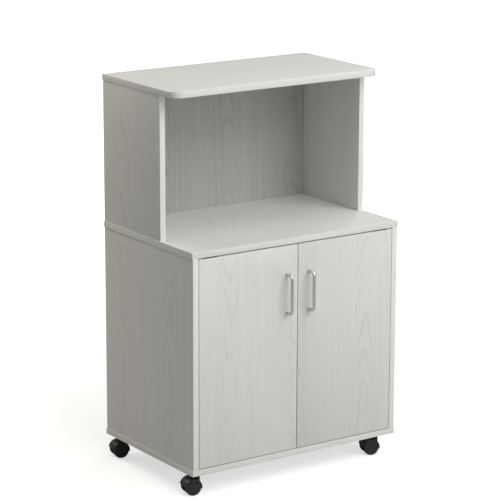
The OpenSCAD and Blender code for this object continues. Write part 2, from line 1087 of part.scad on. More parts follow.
module right_strike_plate() {
    color(steel_colour)
        placed()
            strike_plate();
}

module right_strike_screw() {
    color(steel_colour)
        placed()
            strike_screw();
}

// ---------------------------------------------------------------- casters

// Frame of one caster: swivel axis at X = Y = 0, turned as it stands at rest
module at_caster(index) {
    placed()
        translate([caster_xs[index], caster_ys[index], 0])
            rotate([0, 0, caster_turn[index]])
                children();
}

// The plates are screwed square to the board and don't turn
module at_plate(index) {
    placed()
        translate([caster_xs[index], caster_ys[index], 0])
            children();
}

module at_plate_holes() {
    for (sx = [-1, 1], sy = [-1, 1])
        translate([sx * plate_hole_pitch / 2, sy * plate_hole_pitch / 2, 0])
            children();
}

module caster_screw_bores() {
    for (index = [0 : 3])
        translate([caster_xs[index], caster_ys[index], bottom_z - cut])
            at_plate_holes()
                cylinder(h = caster_screw_l - plate_t + end_play + cut,
                    d = caster_screw_d + 2 * fastener_play);
}

module caster_plates() {
    color(steel_colour)
        for (index = [0 : 3])
            at_plate(index)
                difference() {
                    union() {
                        translate([0, 0, plate_underside_z])
                            linear_extrude(plate_t)
                                round_rect(plate_w, plate_w, plate_corner_r);
                        translate([0, 0, plate_underside_z - boss_t])
                            cylinder(h = boss_t, d1 = boss_d - 2 * boss_t, d2 = boss_d);
                    }
                    translate([0, 0, plate_underside_z - boss_t - cut])
                        cylinder(h = plate_t + boss_t + 2 * cut, d = kingpin_d + 2 * fastener_play);
                    translate([0, 0, plate_underside_z - cut])
                        at_plate_holes()
                            cylinder(h = plate_t + 2 * cut, d = caster_screw_d + 2 * plate_hole_play);
                }
}

// Kingpin riveted in the plate, with the collar that the housing bears against
module caster_kingpins() {
    color(steel_colour)
        for (index = [0 : 3])
            at_plate(index) {
                translate([0, 0, kingpin_tip_z])
                    cylinder(h = caster_h - face_gap - kingpin_tip_z, d = kingpin_d);
                translate([0, 0, plate_underside_z - boss_t - collar_t])
                    cylinder(h = collar_t, d = kingpin_d + 2 * collar_lip);
            }
}

module caster_screws() {
    color(steel_colour)
        for (index = [0 : 3])
            at_plate(index)
                translate([0, 0, plate_underside_z])
                    at_plate_holes()
                        pan_screw(caster_screw_d, caster_screw_l, caster_screw_head_d, caster_screw_head_h);
}

// Side view of the hood's arc, from the swivel's side over the top to the trailing side
module hood_sector(inner_r, outer_r) {
    reach = 3 * outer_r;
    difference() {
        circle(r = outer_r, $fn = 96);
        if (inner_r > 0)
            circle(r = inner_r, $fn = 96);
        // what lies below the line between the hood's two lips is open
        polygon([
            [0, 0],
            reach * [cos(hood_back_angle), sin(hood_back_angle)],
            [-reach, -reach],
            [reach, -reach],
            reach * [cos(hood_front_angle), sin(hood_front_angle)]
        ]);
    }
}

// Extrudes a side view, drawn in X and Z about the axle, over a half width to either side
module across_wheels(half_w) {
    translate([-caster_trail, half_w, wheel_r])
        rotate([90, 0, 0])
            linear_extrude(2 * half_w)
                children();
}

module caster_housing() {
    pin_bore_z = kingpin_tip_z - end_play;
    tower_z = pin_bore_z - tower_floor;
    color(caster_colour)
        difference() {
            union() {
                // hood over both treads
                across_wheels(hood_half_w)
                    hood_sector(hood_inner_r, hood_outer_r);
                // web between the wheels
                across_wheels(web_half_w)
                    hood_sector(0, hood_outer_r);
                // hub that carries the axle
                across_wheels(core_half_w)
                    circle(d = axle_d + 2 * hub_wall);
                // tower round the kingpin
                translate([0, 0, tower_z])
                    cylinder(h = tower_top_z - tower_z, r = core_half_w);
            }
            translate([0, 0, pin_bore_z])
                cylinder(h = tower_top_z - pin_bore_z + cut, d = kingpin_d + 2 * running_play);
            across_wheels(core_half_w + cut)
                circle(d = axle_d + 2 * fastener_play);
        }
}

module caster_axle() {
    color(steel_colour)
        across_wheels(axle_end_y)
            circle(d = axle_d);
}

// Half section of a wheel: X is the radius, Y runs from the inner face at 0 to the outer face
module wheel_section() {
    shoulder_r = 2.5;
    rim_t = 3;
    hub_r = axle_d / 2 + hub_wall;
    bore_r = axle_d / 2 + running_play;
    ring_w = 1;
    ring_depth = 0.5;
    ring_r = wheel_r - rim_t - ring_w;
    difference() {
        union() {
            square([wheel_r - shoulder_r, wheel_w]);
            translate([0, shoulder_r])
                square([wheel_r, wheel_w - 2 * shoulder_r]);
            for (y = [shoulder_r, wheel_w - shoulder_r])
                translate([wheel_r - shoulder_r, y])
                    circle(r = shoulder_r);
        }
        // hollow between the hub and the rim, open towards the housing
        translate([hub_r, -cut])
            square([wheel_r - rim_t - hub_r, wheel_w - wheel_face_t + cut]);
        // blind bore for the axle
        translate([-cut, -cut])
            square([bore_r + cut, wheel_w - wheel_face_t + cut]);
        // ring groove in the outer face
        translate([ring_r, wheel_w - ring_depth])
            square([ring_w, ring_depth + cut]);
        // nothing crosses the axle's line
        translate([-wheel_r, -cut])
            square([wheel_r, wheel_w + 2 * cut]);
    }
}

// side = 1 is the wheel on the +Y side of the housing, -1 the other one
module caster_wheel(side) {
    color(caster_colour)
        translate([-caster_trail, 0, wheel_r])
            rotate([-90 * side, 0, 0])
                translate([0, 0, wheel_inner_y])
                    rotate_extrude($fn = 96)
                        wheel_section();
}

module front_left_housing() {
    at_caster(0)
        caster_housing();
}

module front_left_axle() {
    at_caster(0)
        caster_axle();
}

module front_left_inner_wheel() {
    at_caster(0)
        caster_wheel(1);
}

module front_left_outer_wheel() {
    at_caster(0)
        caster_wheel(-1);
}

module front_right_housing() {
    at_caster(1)
        caster_housing();
}

module front_right_axle() {
    at_caster(1)
        caster_axle();
}

module front_right_inner_wheel() {
    at_caster(1)
        caster_wheel(1);
}

module front_right_outer_wheel() {
    at_caster(1)
        caster_wheel(-1);
}

module back_left_housing() {
    at_caster(2)
        caster_housing();
}

module back_left_axle() {
    at_caster(2)
        caster_axle();
}

module back_left_inner_wheel() {
    at_caster(2)
        caster_wheel(-1);
}

module back_left_outer_wheel() {
    at_caster(2)
        caster_wheel(1);
}

module back_right_housing() {
    at_caster(3)
        caster_housing();
}

module back_right_axle() {
    at_caster(3)
        caster_axle();
}

module back_right_inner_wheel() {
    at_caster(3)
        caster_wheel(-1);
}

module back_right_outer_wheel() {
    at_caster(3)
        caster_wheel(1);
}

// ---------------------------------------------------------------- nodes

bottom_board();
platform();
left_side_panel();
right_side_panel();
lower_back_panel();
shelf();
shelf_pins();
hutch_left_side();
hutch_right_side();
hutch_top();
hutch_back_panel();
cam_locks();
cam_bolts();
dowels();
cabinet_hinge_leaves();
hinge_pivot_pins();
hinge_washers();
cabinet_hinge_screws();
catch_housings();
catch_magnets();
catch_pole_plates();
catch_screws();
left_door();
left_door_hinge_leaves();
left_door_hinge_screws();
left_handle();
left_handle_screws();
left_strike_plate();
left_strike_screw();
right_door();
right_door_hinge_leaves();
right_door_hinge_screws();
right_handle();
right_handle_screws();
right_strike_plate();
right_strike_screw();
caster_plates();
caster_kingpins();
caster_screws();
front_left_housing();
front_left_axle();
front_left_inner_wheel();
front_left_outer_wheel();
front_right_housing();
front_right_axle();
front_right_inner_wheel();
front_right_outer_wheel();
back_left_housing();
back_left_axle();
back_left_inner_wheel();
back_left_outer_wheel();
back_right_housing();
back_right_axle();
back_right_inner_wheel();
back_right_outer_wheel();
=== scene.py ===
"""Microwave cart: a two-door cabinet on twin-wheel casters, with an open hutch above it.

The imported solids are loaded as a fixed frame. The classes below build the dressed pieces over them,
give every surface its finish, and set up the floor, the light and the camera.
"""
import logging
import math
from collections.abc import Callable, Iterator
from contextlib import contextmanager
from dataclasses import dataclass
from enum import Enum, IntEnum

import bmesh
import bpy
from mathutils import Matrix, Vector


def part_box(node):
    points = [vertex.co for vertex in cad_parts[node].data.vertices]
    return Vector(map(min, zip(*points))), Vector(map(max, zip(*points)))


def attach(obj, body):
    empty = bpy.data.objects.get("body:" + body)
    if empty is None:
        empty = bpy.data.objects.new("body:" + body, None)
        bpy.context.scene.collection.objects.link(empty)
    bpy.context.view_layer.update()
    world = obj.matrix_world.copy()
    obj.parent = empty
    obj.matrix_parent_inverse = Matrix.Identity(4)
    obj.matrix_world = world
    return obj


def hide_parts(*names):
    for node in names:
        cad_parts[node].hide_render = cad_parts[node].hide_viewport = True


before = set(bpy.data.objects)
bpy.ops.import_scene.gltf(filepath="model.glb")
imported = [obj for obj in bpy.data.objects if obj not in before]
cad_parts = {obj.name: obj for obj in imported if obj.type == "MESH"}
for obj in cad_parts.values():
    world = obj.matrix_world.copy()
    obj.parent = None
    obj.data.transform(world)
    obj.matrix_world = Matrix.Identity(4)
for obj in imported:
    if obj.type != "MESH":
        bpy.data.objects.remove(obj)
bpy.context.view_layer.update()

LOG = logging.getLogger("microwave_cart")
MM = 0.001
TOUCH = 1e-5  # places closer than this are one place, in metres
FACING = 0.999  # part of a normal along an axis that the face looks along
WORN = "worn_edge"  # face attribute that the finishes read
SIDES = ("left", "right")
LATHE_WELD = 1e-6  # joins the seam of a turned piece, in metres
SOLID_WELD = 2e-6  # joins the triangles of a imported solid, in metres
FLAT_WITHIN = math.radians(0.2)  # triangles this level make one face
BEVEL_SHAPE = 0.6

Colour = Point = tuple[float, float, float]
Piece = bpy.types.Object
Node = bpy.types.Node
Socket = bpy.types.NodeSocket
Value = Socket | float | tuple[float, ...]


class Axis(IntEnum):
    """The object's axes, as places in a vector."""

    X = 0
    Y = 1
    Z = 2


# ---- work on meshes


def let_go() -> None:
    """Deselects every object."""
    bpy.ops.object.select_all(action="DESELECT")


def hold(*objs: Piece) -> None:
    """Selects these objects alone and makes the first one active.

    Args:
        objs: the objects.
    """
    let_go()
    for obj in objs:
        obj.select_set(True)
    bpy.context.view_layer.objects.active = objs[0]


def settle(obj: Piece) -> Piece:
    """Moves an object's place, turn and scale into its mesh.

    Args:
        obj: the object, which ends at the origin.

    Returns:
        The same object.
    """
    hold(obj)
    bpy.ops.object.transform_apply(location=True, rotation=True, scale=True)
    return obj


@contextmanager
def editing(obj: Piece, kind: str = "FACE") -> Iterator[None]:
    """Opens an object in edit mode with nothing selected.

    Args:
        obj: the object to edit.
        kind: VERT, EDGE or FACE, what is selected in it.
    """
    hold(obj)
    bpy.ops.object.mode_set(mode="EDIT")
    bpy.ops.mesh.select_mode(type=kind)
    bpy.ops.mesh.select_all(action="DESELECT")
    yield
    bpy.ops.object.mode_set(mode="OBJECT")


def pick(test: Callable[..., bool], kind: str = "VERT") -> int:
    """Selects, in edit mode, just what passes a test.

    Args:
        test: takes a vertex or an edge and says whether it is wanted.
        kind: VERT or EDGE.

    Returns:
        How many were selected.
    """
    bpy.ops.mesh.select_all(action="DESELECT")
    mesh = bpy.context.edit_object.data
    bm = bmesh.from_edit_mesh(mesh)
    bm.normal_update()
    found = [item for item in (bm.verts if kind == "VERT" else bm.edges) if test(item)]
    for item in found:
        item.select_set(True)
    bmesh.update_edit_mesh(mesh)
    return len(found)


def pick_all() -> None:
    """Selects, in edit mode, everything."""
    bpy.ops.mesh.select_all(action="SELECT")


def lathe(name: str, profile: list[tuple[float, float]], steps: int) -> Piece:
    """Spins a profile about the Y axis.

    Args:
        name: the object's name.
        profile: (radius, y) pairs in metres, in order along the outline.
        steps: how many steps one turn has.

    Returns:
        The turned piece, closed and with its faces outwards.
    """
    let_go()
    bpy.ops.mesh.primitive_plane_add(size=MM)
    obj = bpy.context.object
    obj.name = name
    with editing(obj, "VERT"):
        pick_all()
        bpy.ops.mesh.merge(type="CENTER")
        bpy.ops.transform.translate(value=(*profile[0], 0))
        for (r0, y0), (r1, y1) in zip(profile, profile[1:]):
            extrude((r1 - r0, y1 - y0, 0))
        pick_all()
        bpy.ops.mesh.spin(steps=steps, angle=2 * math.pi, center=(0, 0, 0), axis=(0, 1, 0))
        pick_all()
        bpy.ops.mesh.remove_doubles(threshold=LATHE_WELD)
        # a line along the axis leaves a wire
        bpy.ops.mesh.delete_loose(use_verts=True, use_edges=True, use_faces=False)
        pick_all()
        bpy.ops.mesh.normals_make_consistent(inside=False)
    return obj


def extrude(step: Point) -> None:
    """Extrudes what is selected by a step."""
    bpy.ops.mesh.extrude_region_move(TRANSFORM_OT_translate={"value": step})


def solid_copy(node: str, name: str) -> Piece:
    """Copies a solid of the frame as one clean mesh.

    Args:
        node: the solid's name.
        name: the copy's name.

    Returns:
        The copy, with its triangles merged into flat faces.
    """
    obj = bpy.data.objects.new(name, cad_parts[node].data.copy())
    bpy.context.scene.collection.objects.link(obj)
    obj.data.materials.clear()
    with editing(obj):
        bpy.ops.mesh.customdata_custom_splitnormals_clear()
        pick_all()
        bpy.ops.mesh.remove_doubles(threshold=SOLID_WELD)
        bpy.ops.mesh.mark_sharp(clear=True)
        bpy.ops.mesh.dissolve_limited(angle_limit=FLAT_WITHIN)
    return obj


def round_edges(
    obj: Piece,
    width: float,
    segments: int = 2,
    keep: Callable[[bmesh.types.BMEdge], bool] | None = None,
    sharp_over: float = 40,
) -> None:
    """Bevels the sharp outer edges of a piece and marks the bevels as worn.

    Args:
        obj: the piece.
        width: width of the bevel, in metres.
        segments: steps across the bevel.
        keep: says which of the sharp edges are rounded, or None for all of them.
        sharp_over: smallest angle between two faces that counts as sharp, in degrees.
    """
    limit = math.radians(sharp_over)

    def wanted(edge: bmesh.types.BMEdge) -> bool:
        """Says whether an edge is outer, sharp and kept."""
        sharp = edge.is_manifold and edge.is_convex and edge.calc_face_angle() > limit
        return sharp and (keep is None or keep(edge))

    with editing(obj, "EDGE"):
        if pick(wanted, "EDGE"):
            bpy.ops.mesh.bevel(offset=width, segments=segments, profile=BEVEL_SHAPE, clamp_overlap=True)
            mark_worn(lambda face: face.select)


def mark_worn(test: Callable[[bmesh.types.BMFace], bool]) -> None:
    """Marks faces, in edit mode, as worn edges for the finishes.

    Args:
        test: says whether a face is worn.
    """
    mesh = bpy.context.edit_object.data
    bm = bmesh.from_edit_mesh(mesh)
    worn = bm.faces.layers.float.get(WORN) or bm.faces.layers.float.new(WORN)
    for face in bm.faces:
        if test(face):
            face[worn] = 1.0
    bmesh.update_edit_mesh(mesh)


def repeat(name: str, obj: Piece, places: list[Matrix]) -> Piece:
    """Copies a piece to several places, joins the copies and removes the piece.

    Args:
        name: name of the joined copies.
        obj: the piece, at the origin.
        places: where the copies go.

    Returns:
        The copies, as one object.
    """
    copies = [copy_to(obj, place) for place in places]
    bpy.data.objects.remove(obj)
    hold(*copies)
    if len(copies) > 1:
        bpy.ops.object.join()
    joined = bpy.context.view_layer.objects.active
    joined.name = name
    return joined


def copy_to(obj: Piece, place: Matrix) -> Piece:
    """Copies a piece with its own mesh to another place.

    Args:
        obj: the piece, at the origin.
        place: where the copy goes.

    Returns:
        The copy, with its place in its mesh.
    """
    twin = obj.copy()
    twin.data = obj.data.copy()
    bpy.context.scene.collection.objects.link(twin)
    twin.matrix_world = place
    return settle(twin)


def islands(node: str) -> list[tuple[Vector, Vector]]:
    """Finds the separate solids of a node.

    Args:
        node: the node's name.

    Returns:
        The lowest and highest corner of each solid, sorted by place.
    """
    bm = bmesh.new()
    bm.from_mesh(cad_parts[node].data)
    bmesh.ops.remove_doubles(bm, verts=bm.verts, dist=SOLID_WELD)
    boxes, left = [], set(bm.verts)
    while left:
        queue, found = [left.pop()], []
        while queue:
            vert = queue.pop()
            found.append(vert.co.copy())
            near = {edge.other_vert(vert) for edge in vert.link_edges} & left
            left -= near
            queue += near
        low, high = (Vector(end(c[i] for c in found) for i in Axis) for end in (min, max))
        boxes.append((low, high))
    bm.free()
    return sorted(boxes, key=lambda pair: tuple(round(c, 5) for c in pair[0]))


def shade(obj: Piece, angle: float = 30) -> None:
    """Shades a piece smooth where its faces meet at less than an angle in degrees."""
    hold(obj)
    bpy.ops.object.shade_smooth_by_angle(angle=math.radians(angle))


def place_piece(obj: Piece, body: str, slot: str, *nodes: str) -> None:
    """Hands a finished piece to the frame.

    Args:
        obj: the piece.
        body: the body it rides on.
        slot: the record's material slot; not used.
        nodes: the solids it stands for.
    """
    if nodes:
        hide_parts(*nodes)
    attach(obj, body)
    LOG.info("%s rides on %s: %d faces", obj.name, body, len(obj.data.polygons))


# ---- finishes


class Tree:
    """A node tree under construction, with short calls for nodes and links."""

    def __init__(self, tree: bpy.types.NodeTree) -> None:
        """Keeps the tree to build in."""
        self.tree = tree

    def feed(self, node: Node, inputs: dict[str | int, Value]) -> None:
        """Links or sets some inputs of a node.

        Args:
            node: the node.
            inputs: values or output sockets for its inputs, by name or number.
        """
        for key, value in inputs.items():
            if isinstance(value, Socket):
                self.tree.links.new(value, node.inputs[key])
            else:
                node.inputs[key].default_value = value

    def add(self, kind: str, inputs: dict[str | int, Value] | None = None, **settings: object) -> Node:
        """Adds a node.

        Args:
            kind: the node's type, without the ShaderNode prefix.
            inputs: values or output sockets for its inputs, by name or number.
            settings: properties of the node itself.

        Returns:
            The node.
        """
        node = self.tree.nodes.new(kind if kind.startswith("Node") else "ShaderNode" + kind)
        for key, value in settings.items():
            setattr(node, key, value)
        self.feed(node, inputs or {})
        return node

    def math(self, operation: str, a: Value, b: Value = 0.0, clamp: bool = False) -> Socket:
        """Adds a Math node and gives its output."""
        return self.add("Math", {0: a, 1: b}, operation=operation, use_clamp=clamp).outputs[0]

    def plus(self, a: Value, b: Value, clamp: bool = False) -> Socket:
        """Adds two values."""
        return self.math("ADD", a, b, clamp)

    def minus(self, a: Value, b: Value) -> Socket:
        """Takes the second value from the first."""
        return self.math("SUBTRACT", a, b)

    def times(self, a: Value, b: Value, clamp: bool = False) -> Socket:
        """Multiplies two values."""
        return self.math("MULTIPLY", a, b, clamp)

    def over(self, a: Value, b: Value) -> Socket:
        """Divides the first value by the second."""
        return self.math("DIVIDE", a, b)

    def span(
        self, value: Socket, low: float, high: float, to_low: float = 0.0, to_high: float = 1.0
    ) -> Socket:
        """Maps a range of a value smoothly to another range and gives the output."""
        inputs = {"Value": value, "From Min": low, "From Max": high, "To Min": to_low, "To Max": to_high}
        return self.add("MapRange", inputs, interpolation_type="SMOOTHSTEP").outputs[0]

    def stretch(self, vector: Socket, scale: Point) -> Socket:
        """Scales a vector by a different factor along each axis."""
        return self.add("VectorMath", {0: vector, 1: scale}, operation="MULTIPLY").outputs[0]

    def noise(self, vector: Socket, scale: Value, detail: float = 2.0, rough: float = 0.5) -> Socket:
        """Adds a noise texture.

        Args:
            vector: the place that it is read at.
            scale: its scale, a number, an output socket or three factors, one for each axis.
            detail: its finer layers.
            rough: the strength of the finer layers.

        Returns:
            Its value's output.
        """
        if isinstance(scale, tuple):
            vector, scale = self.stretch(vector, scale), 1.0
        inputs = {"Vector": vector, "Scale": scale, "Detail": detail, "Roughness": rough}
        return self.add("TexNoise", inputs).outputs[0]

    def sway(self, vector: Socket, scale: Point, reach: float, detail: float = 1.0) -> Socket:
        """Adds noise that plays about zero, as far as a reach."""
        return self.times(self.minus(self.noise(vector, scale, detail), 0.5), reach)

    def mix(self, factor: Socket, first: Socket | Colour, second: Socket | Colour) -> Socket:
        """Mixes two colours, plain or linked, and gives the output."""
        ends = [end if isinstance(end, Socket) else (*end, 1) for end in (first, second)]
        return self.add("Mix", {0: factor, 6: ends[0], 7: ends[1]}, data_type="RGBA").outputs[2]

    def bump(self, height: Socket, strength: float, depth: float) -> Socket:
        """Adds a Bump node and gives the normal."""
        return self.add("Bump", {"Strength": strength, "Distance": depth, "Height": height}).outputs[0]


def new_material(name: str) -> tuple[bpy.types.Material, Tree, Node]:
    """Starts a material.

    Args:
        name: its name.

    Returns:
        The material, its tree and its Principled BSDF.
    """
    material = bpy.data.materials.new(name)
    material.use_nodes = True
    return material, Tree(material.node_tree), material.node_tree.nodes["Principled BSDF"]


def new_group(name: str, takes: dict[str, float | None], gives: tuple[str, ...]) -> tuple[Tree, Node, Node]:
    """Starts a shader node group.

    Args:
        name: the group's name.
        takes: its inputs with their default values, or with None for a vector.
        gives: its outputs, which are all values.

    Returns:
        The tree, its input node and its output node.
    """
    group = bpy.data.node_groups.new(name, "ShaderNodeTree")
    for label, value in takes.items():
        kind = "NodeSocketVector" if value is None else "NodeSocketFloat"
        socket = group.interface.new_socket(label, in_out="INPUT", socket_type=kind)
        if value is not None:
            socket.default_value = value
    for label in gives:
        group.interface.new_socket(label, in_out="OUTPUT", socket_type="NodeSocketFloat")
    tree = Tree(group)
    return tree, tree.add("NodeGroupInput"), tree.add("NodeGroupOutput")


@dataclass(frozen=True)
class AshGrain:
    """Printed ash grain: straight streaks, columns of nested arches and short pores.

    Its vector runs across, through and along the grain, in metres, and its scales have a factor for
    each of the three. Arch Way is 1 where the arches point up and -1 where they point down.
    """

    column: float = 0.2
    spacing: float = 0.10
    bend: float = 0.0075
    stagger: float = 0.37
    drift: Point = (3, 3, 1.6)
    drift_reach: float = 0.05
    slow: Point = (11, 11, 7)
    slow_reach: float = 3.0
    quick: Point = (80, 80, 18)
    quick_reach: float = 0.45
    broad: Point = (60, 20, 1.1)
    streak: Point = (260, 60, 2.4)
    fine: Point = (900, 300, 9.0)
    patch: Point = (12, 12, 6)
    pore: Point = (1100, 400, 42)
    shares: Point = (0.5, 0.3, 0.2)  # of streak, broad and fine
    pore_depth: float = 0.7

    def build(self) -> bpy.types.NodeTree:
        """Builds the group.

        Returns:
            The group.
        """
        takes = {"Vector": None, "Arch Centre": 0.0, "Arch Way": 1.0}
        t, start, end = new_group("ash_grain", takes, ("Streaks", "Arches", "Pores", "Height"))
        vector = start.outputs["Vector"]
        axes = t.add("SeparateXYZ", {0: vector}).outputs
        along = axes[2]
        # slow sideways drift of the lines
        across = t.plus(axes[0], t.sway(vector, self.drift, self.drift_reach))
        moved = t.add("CombineXYZ", {0: across, 1: axes[1], 2: along}).outputs[0]
        broad = t.noise(moved, self.broad)
        streak = t.noise(moved, self.streak, detail=3.0, rough=0.6)
        fine = t.noise(moved, self.fine)
        # columns of nested arches, each one steeper towards its sides
        aside = t.minus(across, start.outputs["Arch Centre"])
        cell = t.math("ROUND", t.over(aside, self.column))
        off = t.minus(aside, t.times(cell, self.column))
        climb = t.plus(t.over(t.times(off, off), self.bend), t.times(along, start.outputs["Arch Way"]))
        slow = t.sway(vector, self.slow, self.slow_reach)
        quick = t.sway(vector, self.quick, self.quick_reach, detail=2.0)
        turns = t.plus(t.over(climb, self.spacing), t.times(cell, self.stagger))
        ring = t.math("FRACT", t.plus(turns, t.plus(slow, quick)))
        band = t.times(t.span(ring, 0.50, 0.92), t.span(ring, 0.94, 1.0, 1.0, 0.0))
        near = t.span(t.math("ABSOLUTE", off), 0.006, 0.045, 1.0, 0.14)
        patchy = t.span(t.noise(vector, self.patch, detail=1.0), 0.35, 0.62, 0.25, 1.0)
        broken = t.times(t.span(fine, 0.35, 0.6, 0.4, 1.0), patchy)
        arches = t.times(t.times(band, near), broken)
        # short open pores, gathered in the darker streaks and in the arches
        where = t.plus(t.span(streak, 0.42, 0.62, 0.25, 1.0), band)
        pores = t.times(t.span(t.noise(moved, self.pore, rough=0.6), 0.55, 0.68), where, clamp=True)
        streaks = t.plus(t.times(streak, self.shares[0]), t.times(broad, self.shares[1]))
        streaks = t.plus(streaks, t.times(fine, self.shares[2]))
        height = t.minus(streaks, t.times(pores, self.pore_depth))
        t.feed(end, {"Streaks": streaks, "Arches": arches, "Pores": pores, "Height": height})
        return t.tree


@dataclass(frozen=True)
class Mottle:
    """Fine uneven surface of a moulding, casting or plating, rubbed on its worn edges."""

    coarse_share: float = 0.4
    fine_share: float = 0.6

    def build(self) -> bpy.types.NodeTree:
        """Builds the group.

        Returns:
            The group.
        """
        takes = {"Vector": None, "Coarse": 40.0, "Fine": 900.0}
        t, start, end = new_group("mottle", takes, ("Patches", "Wear", "Height"))
        patches = t.noise(start.outputs["Vector"], start.outputs["Coarse"], detail=3.0)
        specks = t.noise(start.outputs["Vector"], start.outputs["Fine"])
        height = t.plus(t.times(patches, self.coarse_share), t.times(specks, self.fine_share))
        rubbed = t.span(specks, 0.35, 0.6, 0.2, 0.9)
        wear = t.times(t.add("Attribute", attribute_name=WORN).outputs["Fac"], rubbed)
        t.feed(end, {"Patches": patches, "Wear": wear, "Height": height})
        return t.tree


class Effects:
    """The shader node groups that several finishes share."""

    def __init__(self) -> None:
        """Builds every group once."""
        self.grain = AshGrain().build()
        self.mottle = Mottle().build()


class Grain(Enum):
    """Which way a board's grain runs: (across, through, along) as axes of the object."""

    UPRIGHT_FRONT = (Axis.X, Axis.Y, Axis.Z)
    UPRIGHT_SIDE = (Axis.Y, Axis.X, Axis.Z)
    FLAT = (Axis.Y, Axis.Z, Axis.X)


@dataclass(frozen=True)
class Melamine:
    """White ash melamine: printed grain, a fine emboss and a satin sheen."""

    name: str
    grain: Grain
    shift: Point = (0.0, 0.0, 0.0)
    arch_centre: float = 0.0
    arch_way: float = 1.0
    light: Colour = (0.765, 0.765, 0.735)
    dark: Colour = (0.60, 0.60, 0.575)
    contrast: float = 1.0
    rough: float = 0.42
    rough_play: tuple[float, float] = (0.09, -0.05)  # where the emboss is lowest and highest
    streaks: float = 0.34
    arches: float = 0.46
    pores: float = 0.32
    emboss: float = 0.35
    emboss_depth: float = 0.00012

    def build(self, effects: Effects) -> bpy.types.Material:
        """Makes the material.

        Args:
            effects: the shared node groups.

        Returns:
            The material.
        """
        material, t, shader = new_material(self.name)
        axes = t.add("SeparateXYZ", {0: t.add("TexCoord").outputs["Object"]}).outputs
        turned = t.add("CombineXYZ", {i: axes[a] for i, a in enumerate(self.grain.value)}).outputs[0]
        moved = t.add("VectorMath", {0: turned, 1: self.shift}, operation="ADD").outputs[0]
        centre = self.arch_centre + self.shift[0]
        places = {"Vector": moved, "Arch Centre": centre, "Arch Way": self.arch_way}
        grain = t.add("Group", places, node_tree=effects.grain).outputs
        tone = t.times(t.span(grain["Streaks"], 0.30, 0.70), self.streaks * self.contrast)
        tone = t.plus(tone, t.times(grain["Arches"], self.arches * self.contrast))
        tone = t.plus(tone, t.times(grain["Pores"], self.pores * self.contrast), clamp=True)
        low, high = (self.rough + play for play in self.rough_play)
        t.feed(shader, {
            "Base Color": t.mix(tone, self.light, self.dark),
            "Roughness": t.span(grain["Height"], 0.1, 0.8, low, high),
            "Normal": t.bump(grain["Height"], self.emboss, self.emboss_depth),
        })
        return material


@dataclass(frozen=True)
class Moulding:
    """A moulded, plated, painted or pressed surface with fine unevenness."""

    name: str
    base: Colour
    other: Colour
    rough: float
    rough_play: float = 0.08
    metallic: float = 0.0
    coarse: float = 40.0
    fine: float = 1200.0
    bump: float = 0.2
    bump_depth: float = 0.00006
    stretch: Point = (1.0, 1.0, 1.0)
    worn: Colour | None = None

    def build(self, effects: Effects) -> bpy.types.Material:
        """Makes the material.

        Args:
            effects: the shared node groups.

        Returns:
            The material.
        """
        material, t, shader = new_material(self.name)
        coords = t.stretch(t.add("TexCoord").outputs["Object"], self.stretch)
        sizes = {"Vector": coords, "Coarse": self.coarse, "Fine": self.fine}
        mottle = t.add("Group", sizes, node_tree=effects.mottle).outputs
        colour = t.mix(t.span(mottle["Patches"], 0.35, 0.65), self.base, self.other)
        if self.worn:
            colour = t.mix(mottle["Wear"], colour, self.worn)
        low, high = self.rough - self.rough_play, self.rough + self.rough_play
        t.feed(shader, {
            "Base Color": colour,
            "Roughness": t.span(mottle["Height"], 0.3, 0.7, low, high),
            "Metallic": self.metallic,
            "Normal": t.bump(mottle["Height"], self.bump, self.bump_depth),
        })
        return material


